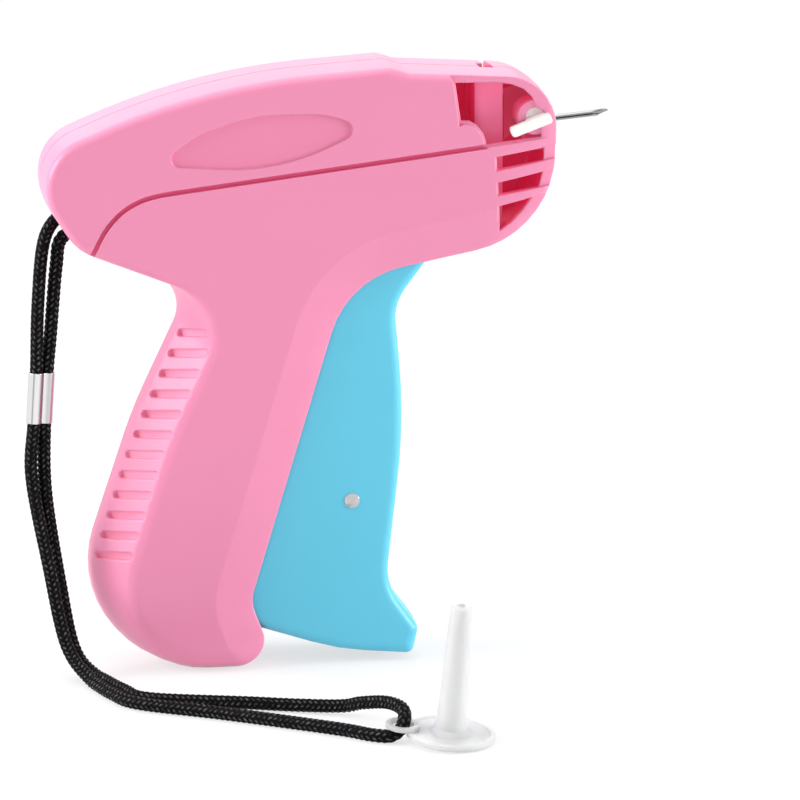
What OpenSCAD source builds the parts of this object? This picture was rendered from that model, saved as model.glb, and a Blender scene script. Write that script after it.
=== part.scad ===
// Fabric tagging tool: two moulded housing halves, a long squeeze trigger, the swing lever,
// slide and push rod inside, a slotted needle with its lock, a feed wheel, a wrist strap
// of round cord and the needle's cap on that cord.
// Millimetres. X runs to the muzzle, Y to the left half, Z up.

/* [Body] */
// length of the housing halves from the rear end to the nose
body_length = 127; // [120:0.5:134]
// height of the housing halves from the handle's foot to the top
body_height = 151.5; // [145:0.5:160]
// width across both halves
body_width = 28; // [27:0.5:31]
// wall of the mouldings
wall = 2.4; // [2.1:0.1:2.7]
// rounding of the top, rear and nose edges
edge_round = 2; // [1.4:0.1:2.4]
// width of the flat bevel along the trigger side
bevel_band = 9.5; // [7:0.5:11]
// width of the slanted band behind the handle
grip_band = 12; // [10.5:0.5:12.5]
// depth of the long groove and of the oval panel
panel_depth = 0.9; // [0.5:0.1:1.2]

/* [Grip slots] */
// number of slots behind the handle
slot_count = 12; // [6:1:12]
// height of one slot
slot_height = 2; // [1.4:0.1:2.6]

/* [Trigger] */
// how far the trigger swings when it is squeezed, in degrees
trigger_swing = 14; // [10:0.5:14]
// wall of the trigger's channel
trigger_wall = 2; // [1.6:0.1:2.4]

/* [Needle] */
// outside diameter of the slotted needle
needle_d = 1.6; // [1.4:0.1:1.9]
// length of the needle in front of the nose
needle_out = 15; // [11:0.5:18]
// width of the slot along the needle
needle_slot = 0.5; // [0.4:0.05:0.6]

/* [Feed] */
// teeth on the feed wheel
wheel_teeth = 24; // [18:1:28]
// outside radius of the feed wheel
wheel_r = 8.5; // [7.5:0.25:8.75]

/* [Pins and screws] */
// diameter of the steel pivot pins
pin_d = 3; // [2.6:0.1:3.2]
// diameter of the screw shanks
screw_d = 3; // [2.6:0.1:3.2]
// diameter of the screw heads
head_d = 6; // [5.4:0.1:6.2]

/* [Strap] */
// diameter of the round cord
cord_d = 3; // [2.6:0.1:3.1]
// length of the crimped sleeve
ferrule_length = 12.6; // [10:0.2:14]

/* [Needle cap] */
// diameter of the cap's foot disc
cap_disc_d = 21.6; // [20:0.2:23]
// height of the cap over its foot
cap_height = 33; // [28:0.5:36]
// radius of the bore that takes the needle
cap_bore_r = 1.2; // [1.1:0.05:1.4]

/* [Clearances] */
// radial gap of a pin in the piece that turns on it
running_gap = 0.05; // [0.03:0.01:0.08]
// gap of a piece that is only seated
seat_gap = 0.03; // [0.02:0.01:0.05]
// gap beside a piece that slides or swings
moving_gap = 0.4; // [0.3:0.05:0.5]

/* [Hidden] */

pink = [0.93, 0.57, 0.70];
blue = [0.39, 0.76, 0.87];
steel = [0.72, 0.73, 0.75];
ivory = [0.95, 0.95, 0.92];
black = [0.05, 0.05, 0.06];
clear = [0.88, 0.90, 0.92];

// scale of the side view, and its shift to the middle of the box
sx = body_length / 127;
sz = body_height / 151.5;
shift_x = -1;
function P(x, z) = [(x + shift_x) * sx, z * sz];
hw = body_width / 2;
inner_hw = hw - 0.8 - wall;

// edge treatments: 0 rounded, 1 bevelled, 2 wide slant behind the grip, 3 full round at the foot
outline = [for (v = [
  [-75.6, 129.4, 13, 0], [-61.8, 107.6, 13, 0], [-33, 96.1, 9, 2], [-47.5, 65.7, 122, 2],
  [-69.9, 0, 26.8, 3], [-13, 0, 7, 1], [-19.8, 17.5, 9, 1], [4.8, 98.7, 23, 1],
  [56.3, 108.8, 24.5, 0], [57.4, 147.9, 13.5, 0], [19.6, 150.1, 5, 0], [15.4, 151.5, 5, 0],
  [-32, 148.3, 170, 0]]) [P(v[0], v[1])[0], P(v[0], v[1])[1], v[2], v[3]]];

function unit(v) = v / norm(v);
function left_of(d) = [-d[1], d[0]];
function turn(v, a) = [v[0] * cos(a) - v[1] * sin(a), v[0] * sin(a) + v[1] * cos(a)];
function bend(a, b) = atan2(a[0] * b[1] - a[1] * b[0], a * b);
function xz(v) = [v[0], v[1]];

// a polygon whose edges are set in by d[edge] and whose corners are arcs
function corner(v, d, i, step) =
  let (n = len(v), h = (i + n - 1) % n, j = (i + 1) % n,
    e1 = unit(xz(v[i]) - xz(v[h])), e2 = unit(xz(v[j]) - xz(v[i])),
    n1 = left_of(e1), n2 = left_of(e2), c = n1[0] * n2[1] - n1[1] * n2[0],
    q = [(d[h] * n2[1] - d[i] * n1[1]) / c, (n1[0] * d[i] - n2[0] * d[h]) / c],
    t = bend(e1, e2), s = t > 0 ? 1 : -1,
    r = t > 0 ? max(v[i][2] - (d[h] + d[i]) / 2, 0.5) : v[i][2] + max((d[h] + d[i]) / 2, 0),
    from = xz(v[i]) + q - e1 * r * tan(abs(t) / 2),
    mid = from + n1 * r * s, m = max(2, ceil(abs(t) / step), ceil(abs(t) * v[i][2] * PI / 180 / 7)))
  [for (k = [0:m]) mid - turn(n1, t * k / m) * r * s];
function rounded(v, d, step = 10) = [for (i = [0:len(v) - 1]) each corner(v, d, i, step)];
function flat_inset(v, d) = [for (i = [0:len(v) - 1]) d];

// how far an edge of each treatment is set in at the distance y from the parting plane
function round_inset(y) = let (a = max(0, y - (hw - edge_round)))
  0.6 * pow(y / hw, 2) + edge_round - sqrt(max(0, edge_round * edge_round - a * a));
lip = inner_hw + 0.5;
function bevel_inset(y) = y < lip ? 0 : y < lip + 0.4 ? y - lip :
  0.4 + (bevel_band - 0.4) * (y - lip - 0.4) / (hw - lip - 0.4);
function ramp(y) = (y - 3 + sqrt((y - 3) * (y - 3) + 3)) / 2;
function grip_inset(y) = (grip_band - 1.6) * (ramp(y) - ramp(0)) / (ramp(hw) - ramp(0))
  + 1.6 * pow(max(0, (y - hw) / 1.4 + 1), 3);
foot_round = 6;
function foot_inset(y) = let (a = max(0, y - hw + foot_round))
  0.6 * pow(y / hw, 2) + foot_round - sqrt(max(0, foot_round * foot_round - a * a));
function inset(kind, y) = kind == 0 ? round_inset(y) : kind == 1 ? bevel_inset(y) :
  kind == 2 ? grip_inset(y) : foot_inset(y);
function inner_inset(kind, y) = wall + (kind == 0 ? round_inset(y) : kind == 1 ? 0 :
  kind == 2 ? 1 + 1.05 * grip_inset(y) : 0.6 + foot_inset(y));

// triangles of a flat polygon by clipping ears
function area2(a, b, c) = (b[0] - a[0]) * (c[1] - a[1]) - (b[1] - a[1]) * (c[0] - a[0]);
function in_tri(p, a, b, c) = area2(a, b, p) > -1e-9 && area2(b, c, p) > -1e-9 && area2(c, a, p) > -1e-9;
function is_ear(p, l, i) = let (n = len(l), a = p[l[(i + n - 1) % n]], b = p[l[i]], c = p[l[(i + 1) % n]])
  area2(a, b, c) > 1e-7 &&
  len([for (k = l) if (p[k] != a && p[k] != b && p[k] != c && in_tri(p[k], a, b, c)) 1]) == 0;
function find_ear(p, l, i = 0) = i >= len(l) ? 0 : is_ear(p, l, i) ? i : find_ear(p, l, i + 1);
function clip(p, l, done = []) = len(l) < 4 ? concat(done, [l]) :
  let (i = find_ear(p, l), n = len(l))
  clip(p, [for (k = [0:n - 1]) if (k != i) l[k]],
    concat(done, [[l[(i + n - 1) % n], l[i], l[(i + 1) % n]]]));

function band_faces(n, a, b) = [for (i = [0:n - 1]) let (j = (i + 1) % n)
  each [[a + i, b + i, b + j], [a + i, b + j, a + j]]];
function flip(f, on) = on ? [for (t = f) [t[2], t[1], t[0]]] : f;

// a hollow half shell from its rings, on the side of the parting plane that s says
module half_shell(s) {
  levels = concat([for (t = [0, 0.25, 0.5, 0.66]) t * hw], [lip, lip + 0.4],
    [for (t = [0.91, 0.94, 0.97, 0.99, 1]) t * hw]);
  inner = [for (t = [0, 0.4, 0.78, 1]) t * inner_hw];
  outer_rings = [for (y = levels) rounded(outline, [for (v = outline) inset(v[3], y)], 9)];
  inner_rings = [for (y = inner) rounded(outline, [for (v = outline) inner_inset(v[3], y)], 9)];
  n = len(outer_rings[0]);
  k = len(levels);
  m = len(inner);
  points = concat([for (a = [0:k - 1]) each [for (p = outer_rings[a]) [p[0], s * levels[a], p[1]]]],
    [for (a = [0:m - 1]) each [for (p = inner_rings[a]) [p[0], s * inner[a], p[1]]]]);
  order = [for (i = [0:n - 1]) i];
  side = [for (t = clip(outer_rings[k - 1], order)) [for (i = t) i + (k - 1) * n]];
  floor_in = [for (t = clip(inner_rings[m - 1], order)) [for (i = t) i + (k + m - 1) * n]];
  faces = concat(
    [for (a = [0:k - 2]) each band_faces(n, a * n, (a + 1) * n)],
    flip(side, false),
    [for (a = [0:m - 2]) each flip(band_faces(n, (k + a) * n, (k + a + 1) * n), true)],
    flip(floor_in, true),
    flip(band_faces(n, 0, k * n), true));
  polyhedron(points = points, faces = flip(faces, s > 0), convexity = 10);
}

// side-view shapes drawn between two distances along Y, and round bars along Y
module side(y0, y1) translate([0, y1, 0]) rotate([90, 0, 0]) linear_extrude(y1 - y0) children();
module bar_y(p, r, y0, y1, fn = 40)
  translate([p[0], y1, p[1]]) rotate([90, 0, 0]) cylinder(r = r, h = y1 - y0, $fn = fn);
module mirror_if(s) { if (s < 0) children(); else mirror([0, 1, 0]) children(); }
function stadium(l, w, n = 6) = concat(
  [for (k = [0:n]) [l / 2 - w / 2 + w / 2 * cos(-90 + 180 * k / n), w / 2 * sin(-90 + 180 * k / n)]],
  [for (k = [0:n]) [-l / 2 + w / 2 + w / 2 * cos(90 + 180 * k / n), w / 2 * sin(90 + 180 * k / n)]]);

// barrel axis: through the front of the nose, rising to the muzzle
barrel_tilt = 5.3;
nose = P(57.1, 135.4);
along = [cos(barrel_tilt), sin(barrel_tilt)];
across = left_of(along);
function on_barrel(u, w) = nose + along * u + across * w;
module barrel() translate([nose[0], 0, nose[1]]) rotate([0, -barrel_tilt, 0]) children();

// linkage: trigger pivot, link pin, lever pivot, and the stroke that they give
trigger_pivot = P(15.6, 105);
link = P(5.9, 42.2);
lever_pivot = P(-1.4, 72);
function swing(v, a) = [v[0] * cos(a) + v[1] * sin(a), -v[0] * sin(a) + v[1] * cos(a)];
link_end = trigger_pivot + swing(link - trigger_pivot, trigger_swing);
arm_rest = atan2(link[0] - lever_pivot[0], lever_pivot[1] - link[1]);
arm_end = atan2(link_end[0] - lever_pivot[0], lever_pivot[1] - link_end[1]);
lever_swing = arm_rest - arm_end;
half_swing = lever_swing / 2;
arm_up = (nose - lever_pivot) * across;
arm_foot = (lever_pivot - nose) * along;
slide_rest = arm_foot - arm_up * tan(half_swing);
slide_stroke = 2 * arm_up * tan(half_swing);
arm_low_far = norm(link - lever_pivot);
arm_low_near = norm(link_end - lever_pivot);
sweep_r = 103.7 * max(sx, sz);
lever_half = 2.2;
link_play = 0.6;
pin_r = pin_d / 2;

// feed track behind the needle, with the wheel beside it
track_x = P(41.8, 0)[0];
wheel_c = [track_x - wheel_r - 0.3, P(0, 122)[1]];
wheel_y = 4.2;
wheel_w = 3;

// needle lock over the needle's base
lock_u = -5.5;
lock_w = 2.95;
lock_c = on_barrel(lock_u, lock_w);
lock_r = 2.1;
hub_r = 2.5;
ring_r = 4.3;
base_r = 2.4;
lever_face = hw - 0.1;
recess_y = hw - 1.7;

screws = [P(-51.4, 128), P(20.6, 143), P(34.2, 109.4), P(-40, 10.5), P(-30.5, 61)];
boss_r = screw_d / 2 + 2.1;
strap_c = P(-57.7, 116);
strap_r = 1.6;

echo(lever_swing = lever_swing, slide_stroke = slide_stroke, slide_rest = slide_rest,
  ratio_lever = lever_swing / trigger_swing,
  ratio_slide = slide_stroke / 1000 / (trigger_swing * PI / 180));
echo(spring_least_gap = (pad_x - spring_back - spring_wire) / spring_coils - spring_wire);

// cuts that both halves share
module opening() {
  a0 = -88;
  a1 = -114;
  arc = [for (k = [0:12]) let (a = a0 + (a1 - a0) * k / 12) trigger_pivot + sweep_r * [cos(a), sin(a)]];
  side(-inner_hw, inner_hw) polygon(concat(arc,
    [P(-29, 14), P(-2, 96), P(3, 114), P(28.3, 114), P(28.3, 95), P(30, 40)]));
}
module nose_taper(s, deep = 0) {
  x0 = P(40, 0)[0];
  x1 = P(58.9, 0)[0];
  function side_y(t) = hw - deep - 3 * t * t;
  pts = concat([for (k = [0:10]) [x0 + (x1 - x0) * k / 10, -side_y(k / 10)]], [[x1, -hw - 1], [x0, -hw - 1]]);
  mirror_if(s) translate([0, 0, P(0, 95)[1]]) linear_extrude(P(0, 60)[1]) polygon(pts);
}
// recess between the bars at the nose, and the windows in it
module windows() {
  intersection() {
    nose_taper(-1, 0.9);
    side(-hw - 2, 0) {
      polygon([P(41, 128.6), P(60, 131.5), P(60, 128.2), P(41.2, 125)]);
      polygon([P(41.4, 122.2), P(60, 125.8), P(60, 121.6), P(41.6, 118.9)]);
      polygon([P(41.7, 116.3), P(60, 120.4), P(60, 112), P(53, 114.4), P(42, 105)]);
    }
  }
  side(-hw - 1, -inner_hw + 1.5) {
    polygon([P(41.5, 128.6), P(53.6, 130.4), P(53.5, 127.1), P(41.7, 125.1)]);
    polygon([P(41.9, 122.2), P(53.3, 124.4), P(52.3, 120.5), P(42.1, 118.9)]);
    polygon([P(42.2, 116.3), P(50.6, 118.2), P(48.2, 114.9), P(45.4, 112), P(42.4, 109.8)]);
  }
}
module groove(s) {
  path = [P(-58.2, 106.8), P(-55.4, 112.4), P(-51.9, 116.7), P(-47.9, 119.5), P(-43.2, 121.2),
    P(-37.4, 122.1), P(-31.6, 122.8), P(39, 131.3)];
  line = concat([for (i = [0:4]) each [for (t = [0, 1 / 3, 2 / 3]) spline(path, i, t)]], [path[5], path[7]]);
  n = len(line);
  dir = [for (i = [0:n - 1]) unit(line[min(i + 1, n - 1)] - line[max(i - 1, 0)])];
  rim = concat([for (i = [0:n - 1]) line[i] + left_of(dir[i]) * 0.6],
    [for (i = [n - 1:-1:0]) line[i] - left_of(dir[i]) * 0.6]);
  mirror_if(s) side(-hw - 1, -hw + panel_depth * 1.7) polygon(rim);
}
module oval(s) {
  v = [for (p = [[-42.5, 128.7, 2.2], [-12.4, 126.2, 55], [9.8, 136.7, 2.5], [-1.4, 140.7, 25],
    [-19.4, 140.5, 40], [-32.4, 136.2, 20]]) [P(p[0], p[1])[0], P(p[0], p[1])[1], p[2], 0]];
  mirror_if(s) side(-hw - 1, -hw + panel_depth * 0.8) polygon(rounded(v, flat_inset(v, 0), 6));
}
module grip_slots(s) {
  mirror_if(s) for (i = [0:slot_count - 1]) {
    z = 85.2 - 5.07 * i;
    x = z > 54.5 ? -50.5 + 0.439 * (z - 54.5) : -50.5 + 0.303 * (z - 54.5);
    long = i == 0 ? 10.4 : 12.6;
    translate([P(x, 0)[0] + 1, -4, P(0, z)[1]]) rotate([0, 0, -46]) side(-4, 0.7)
      rotate(7) translate([long / 2 - 0.4, 0]) polygon(stadium(long, slot_height));
  }
}
module strap_slot() {
  c = P(-63.6, 112.2);
  translate([c[0], 0, c[1]]) rotate([0, 56.8, 0]) cube([3 * cord_d + 1, cord_d + 1.6, 12], center = true);
}
module load_slot() {
  translate([track_x - 2.6, -1.5, P(0, 144)[1]]) cube([3.6, 6.2, 10]);
}

// ribs and bosses inside a half
module inside(s) {
  mirror_if(s) {
    for (p = screws) bar_y(p, boss_r, -inner_hw - 0.6, 0, 36);
    bar_y(trigger_pivot, pin_r + 2, -inner_hw - 0.6, -inner_hw + 0.01, 36);
    bar_y(strap_c, strap_r + 2, -inner_hw - 0.6, -cord_d / 2 - 2, 36);
    // cheeks that carry the lever's pin inside the trigger's channel
    side(-lever_half - moving_gap - 2.7, -lever_half - moving_gap)
      polygon([P(-32, 67), P(-1, 67), P(2.4, 70), P(2.4, 74), P(-1, 77), P(-32, 77)]);
    side(-inner_hw - 0.6, -lever_half - moving_gap) polygon([P(-32, 67), P(-23, 67), P(-23, 77), P(-32, 77)]);
    // rails over and under the slide
    barrel() for (w = [4.6 + moving_gap, -6.2 - moving_gap])
      translate([slide_rest - 13, -inner_hw - 0.6, w]) cube([slide_stroke + 26, inner_hw - 2.4, 1.6]);
  }
}
module inside_cuts(s) {
  mirror_if(s) {
    bar_y(trigger_pivot, pin_r + seat_gap, -inner_hw - 1.1, 1, 36);
    bar_y(lever_pivot, pin_r + seat_gap, -inner_hw, 1, 36);
    bar_y(strap_c, strap_r + seat_gap, -inner_hw - 1.8, 1, 36);
  }
}

module right_housing() color(pink) difference() {
  union() {
    difference() {
      union() {
        half_shell(-1);
        inside(-1);
        // upright guide beside the track
        translate([track_x - 5.4, -7.2, P(0, 106.6)[1]]) linear_extrude(P(0, 40.2)[1])
          polygon([[0, 5.6], [0, 2.4], [0.7, 0.7], [2.4, 0], [7.6, 0], [7.6, 5.6]]);
        // saddle under the needle's base
        barrel() translate([-8.6, -inner_hw - 0.6, -5.6]) cube([6.2, inner_hw, 5.6 - base_r - seat_gap]);
      }
      opening();
      windows();
      nose_taper(-1);
      groove(-1);
      oval(-1);
      grip_slots(-1);
      strap_slot();
      load_slot();
      // step in front of the upper panel, and the window behind the lock
      side(-hw - 1, -recess_y) polygon([P(28.6, 154), P(29.6, 149.2), P(30.7, 146.8), P(32.1, 136.4),
        P(33, 136.9), P(34.6, 136.8), P(36.3, 135.8), P(37.7, 134), P(38.3, 132.2), P(38.3, 130.9),
        P(60, 133.5), P(60, 154)]);
      side(-hw - 1, -inner_hw + 1.5) polygon([P(31.3, 147), P(32.7, 137.5), P(35, 137.4), P(36.9, 136.2),
        P(38.3, 134.3), P(39, 132.3), P(39, 131.3), P(52.8, 133), P(52.9, 137), P(52.1, 140),
        P(50.6, 142.8), P(48.4, 145), P(45.2, 146.4), P(41.8, 147)]);
    }
    // boss that the lock turns in
    bar_y(lock_c, ring_r, -recess_y + 0.6, -3.1, 48);
    side(-inner_hw, -3.1)
      polygon([lock_c + [0, -2.2], lock_c + [5, -2.2], lock_c + [4, 2.4], lock_c + [0, 4]]);
  }
  inside_cuts(-1);
  bar_y(lock_c, lock_r + running_gap, -hw - 1, 0, 48);
  bar_y(lock_c, hub_r + running_gap, -hw - 1, -recess_y + 2.2, 48);
  barrel() translate([-9, 0, 0]) rotate([0, 90, 0]) cylinder(r = base_r + seat_gap, h = 14, $fn = 40);
  for (p = screws) bar_y(p, screw_d / 2 + seat_gap, -inner_hw + 0.6, 1, 32);
}

module left_housing() color(pink) difference() {
  union() {
    difference() {
      union() {
        half_shell(1);
        inside(1);
        // guide behind the track
        translate([track_x - 5.4, 1.6, P(0, 106.6)[1]]) cube([4.1, 2, P(0, 40)[1]]);
      }
      opening();
      nose_taper(1);
      groove(1);
      oval(1);
      grip_slots(1);
      strap_slot();
      load_slot();
      // slit that the tag ends run down
      side(1.2, hw + 1) polygon([[track_x - 0.9, P(0, 110)[1]], [track_x + 0.9, P(0, 110)[1]],
        [track_x + 0.9, P(0, 155)[1]], [track_x - 0.9, P(0, 155)[1]]]);
    }
    // post for the feed wheel, seat for its spring, seat for the knife, seat for the return spring
    bar_y(wheel_c, pin_r + 1.9, wheel_y + wheel_w + moving_gap, inner_hw + 0.6, 36);
    translate([wheel_c[0] - wheel_r - 4.2, wheel_y, wheel_c[1] - 8.6])
      cube([3.4, inner_hw + 0.6 - wheel_y, 4.6]);
    translate([track_x + 2, 4.2, P(0, 127)[1]]) cube([2.6, inner_hw - 3.6, 14]);
    translate([spring_back - 2.4, -4.4, spring_z - 4.4]) cube([2.4, 12.6, 8.8]);
  }
  inside_cuts(1);
  bar_y(wheel_c, pin_r + seat_gap, 0, inner_hw + 1.2, 32);
  barrel() translate([-2.8, 0, 0]) rotate([0, 90, 0]) cylinder(r = base_r + seat_gap, h = 8, $fn = 40);
  for (p = screws) {
    bar_y(p, screw_d / 2 + seat_gap + 0.05, -1, hw + 1, 32);
    bar_y(p, head_d / 2 + 0.25, inner_hw - 0.4, hw + 1, 36);
  }
}

module housing_screws() color(steel) for (p = screws) difference() {
  union() {
    bar_y(p, screw_d / 2, -inner_hw + 1, inner_hw, 28);
    bar_y(p, head_d / 2, inner_hw - 0.38, inner_hw + 1.8, 36);
  }
  translate([p[0], inner_hw + 1.6, p[1]]) cube([0.9, 1.8, 3.6], center = true);
  translate([p[0], inner_hw + 1.6, p[1]]) cube([3.6, 1.8, 0.9], center = true);
}

// trigger: a channel that is open to the rear and at the top
trigger_hw = inner_hw - 0.6;
trigger_line = [for (v = [[7.6, 111, 5, 1], [1.6, 96, 12, 1], [-24.4, 12.1, 3, 0], [2.6, 3.1, 60, 0],
  [21.6, 1.3, 2.2, 0], [23.2, 8.4, 3, 0], [14.9, 19.6, 15, 0], [19.7, 62, 150, 0], [17.1, 91.5, 12, 0],
  [27.6, 105.5, 3, 0], [26.1, 111, 3, 0]]) [P(v[0], v[1])[0], P(v[0], v[1])[1], v[2], v[3]]];
module trigger() {
  r = 2.4;
  levels = [for (t = [0, 0.3, 0.55, 0.75, 0.9, 1]) trigger_hw - r + r * t];
  function cut(kind, y) = let (a = max(0, y - trigger_hw + r))
    kind == 1 ? 0 : r - sqrt(max(0, r * r - a * a)) + 0.35 * pow(y / trigger_hw, 2);
  half = [for (y = levels) rounded(trigger_line, [for (v = trigger_line) cut(v[3], y)], 9)];
  k = len(levels);
  n = len(half[0]);
  points = concat([for (a = [k - 1:-1:0]) each [for (p = half[a]) [p[0], -levels[a], p[1]]]],
    [for (p = rounded(trigger_line, flat_inset(trigger_line, 0), 9)) [p[0], 0, p[1]]],
    [for (a = [0:k - 1]) each [for (p = half[a]) [p[0], levels[a], p[1]]]]);
  cap = clip(half[k - 1], [for (i = [0:n - 1]) i]);
  faces = concat([for (a = [0:2 * k - 1]) each band_faces(n, a * n, (a + 1) * n)],
    flip(cap, true), [for (t = cap) [for (i = t) i + 2 * k * n]]);
  open_edges = [0, 1, len(trigger_line) - 1];
  hollow = rounded(trigger_line, [for (i = [0:len(trigger_line) - 1])
    len(search(i, open_edges)) > 0 ? -6 : trigger_wall + 0.3], 9);
  color(blue) difference() {
    polyhedron(points = points, faces = flip(faces, true), convexity = 8);
    side(-trigger_hw + trigger_wall, trigger_hw - trigger_wall) polygon(hollow);
    bar_y(trigger_pivot, pin_r + running_gap, -hw, hw, 40);
    bar_y(link, pin_r + seat_gap, -hw, hw, 40);
  }
}
module trigger_pivot_pin() color(steel) bar_y(trigger_pivot, pin_r, -inner_hw - 0.9, inner_hw + 0.9);
module link_pin() color(steel) {
  bar_y(link, pin_r, -trigger_hw - 0.1, trigger_hw + 0.1);
  for (s = [-1, 1]) translate([link[0], 0, link[1]]) rotate([90 * s, 0, 0]) rotate_extrude($fn = 40)
    polygon([[0, trigger_hw + 0.05], [pin_r + 0.4, trigger_hw + 0.05], [pin_r + 0.4, trigger_hw + 0.2],
      [pin_r * 0.95, trigger_hw + 0.34], [pin_r * 0.55, trigger_hw + 0.45], [0, trigger_hw + 0.5]]);
}

// swing lever: a fork at the top for the slide's pin, a slot below for the link pin
spring_z = P(0, 44)[1];
spring_back = P(-45.4, 0)[0];
pad_x = lever_pivot[0] + (lever_pivot[1] - spring_z) * tan(arm_rest) - 6;
module swing_lever() color(ivory) difference() {
  union() {
    translate([lever_pivot[0], 0, lever_pivot[1]]) {
      rotate([0, -barrel_tilt - half_swing, 0]) side(-lever_half, lever_half)
        polygon([[-5, 0], [5, 0], [3.9, arm_up + 1], [3, arm_up / cos(half_swing) + 2.2],
          [-3, arm_up / cos(half_swing) + 2.2], [-3.9, arm_up + 1]]);
      rotate([0, -arm_rest, 0]) side(-lever_half, lever_half)
        polygon([[-4.8, 0], [-4.6, -arm_low_far - 3.6], [-2.6, -arm_low_far - 5.4], [2.6, -arm_low_far - 5.4],
          [4.6, -arm_low_far - 3.6], [4.8, 0]]);
      bar_y([0, 0], 5.4, -lever_half, lever_half, 40);
    }
    translate([pad_x, 0, spring_z]) rotate([0, 90, 0]) cylinder(r = 4.4, h = 3, $fn = 36);
  }
  translate([lever_pivot[0], 0, lever_pivot[1]]) {
    bar_y([0, 0], pin_r + running_gap, -5, 5);
    rotate([0, -barrel_tilt - half_swing, 0]) translate([-pin_r - moving_gap, -5, arm_up - pin_r - 0.8])
      cube([2 * pin_r + 2 * moving_gap, 10, 20]);
    link_slot = 2 * pin_r + 2 * link_play;
    rotate([0, -arm_rest, 0]) side(-5, 5) translate([0, -(arm_low_far + arm_low_near) / 2])
      rotate(90) polygon(stadium(arm_low_far - arm_low_near + link_slot + 1, link_slot, 8));
  }
}
module lever_pivot_pin() color(steel)
  bar_y(lever_pivot, pin_r, -lever_half - moving_gap - 2.7, lever_half + moving_gap + 2.7);

// a round tube along points, its rings turned as little as the path lets them
function carry(t, n, i = 1) = i >= len(t) ? n :
  let (m = n[i - 1] - (n[i - 1] * t[i]) * t[i]) carry(t, concat(n, [unit(m)]), i + 1);
module tube(p, r, sides, first) {
  c = len(p);
  t = [for (i = [0:c - 1]) unit(p[min(i + 1, c - 1)] - p[max(i - 1, 0)])];
  n = carry(t, [unit(first - (first * t[0]) * t[0])]);
  points = [for (i = [0:c - 1]) each [for (k = [0:sides - 1])
    let (a = 360 * k / sides) p[i] + r * (cos(a) * n[i] + sin(a) * cross(t[i], n[i]))]];
  faces = concat([for (i = [0:c - 2]) each band_faces(sides, i * sides, (i + 1) * sides)],
    [[for (k = [0:sides - 1]) k]], [[for (k = [sides - 1:-1:0]) k + (c - 1) * sides]]);
  polyhedron(points = points, faces = faces, convexity = 10);
}
spring_coils = 8;
spring_mean = 3.4;
spring_wire = 0.9;
module return_spring() {
  x0 = spring_back + spring_wire / 2 + seat_gap;
  x1 = pad_x - spring_wire / 2 - seat_gap;
  m = spring_coils * 12;
  coil = [for (k = [0:m])
    [x0 + (x1 - x0) * k / m, spring_mean * cos(30 * k), spring_z + spring_mean * sin(30 * k)]];
  color(steel) tube(coil, spring_wire / 2, 6, [0, 1, 0]);
}

// slide with its pin, rod and pawl, all drawn in the barrel's own axes
slide_half = inner_hw - 0.5;
module slide() color(ivory) barrel() difference() {
  translate([slide_rest - 10, -slide_half, -4.6]) cube([20, 2 * slide_half, 9.2]);
  translate([slide_rest - 6.4, -lever_half - moving_gap, -6])
    cube([12.8, 2 * lever_half + 2 * moving_gap, 14]);
  bar_y([slide_rest, 0], pin_r + seat_gap, -7, 7);
  translate([slide_rest + 6.8, 0, 0]) rotate([0, 90, 0]) cylinder(r = 0.5 + seat_gap, h = 4, $fn = 24);
  translate([slide_rest + 5, wheel_y + 0.3, -2.3]) cube([6, 2.2, 0.5 + 2 * seat_gap]);
  for (y = [-slide_half - 1, slide_half - 2.2]) translate([slide_rest - 7, y, 1.4]) cube([14, 3.2, 4]);
}
module slide_pin() color(steel) barrel() bar_y([slide_rest, 0], pin_r, -6.8, 6.8);
rod_tip = on_barrel(0, 0)[0] - track_x + 3;
module push_rod() color(steel) barrel() translate([slide_rest + 7, 0, 0]) rotate([0, 90, 0])
  cylinder(r = 0.5, h = -slide_rest - 7 - rod_tip, $fn = 24);
module feed_pawl() color(steel) barrel()
  translate([slide_rest + 5.2, wheel_y + 0.4, -2.3 + seat_gap]) cube([27, 2, 0.5]);

module feed_wheel() color(ivory) difference() {
  side(wheel_y, wheel_y + wheel_w) translate(wheel_c) polygon([for (k = [0:wheel_teeth - 1]) each
    [for (c = [[-0.25, 1.2], [-0.12, 0], [0.12, 0], [0.25, 1.2]]) (wheel_r - c[1]) *
      [cos(360 * (k + c[0]) / wheel_teeth), sin(360 * (k + c[0]) / wheel_teeth)]]]);
  bar_y(wheel_c, pin_r + running_gap, 0, 20);
}
module feed_axle() color(steel) {
  bar_y(wheel_c, pin_r, wheel_y - 0.6, inner_hw + 1);
  bar_y(wheel_c, pin_r + 1, wheel_y - 1, wheel_y - 0.2);
}
module detent_spring() color(steel)
  translate([wheel_c[0] - wheel_r - 0.8 + seat_gap, wheel_y + 0.4, wheel_c[1] - 8.4]) cube([0.4, 2.2, 9.4]);
module knife_blade() color(steel) side(4.2 - 0.5 - seat_gap, 4.2 - seat_gap) polygon([
  [track_x + 1.6, P(0, 129)[1]], [track_x + 4, P(0, 129)[1]],
  [track_x + 4, P(0, 136)[1]], [track_x + 2.8, P(0, 136)[1]]]);

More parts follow.
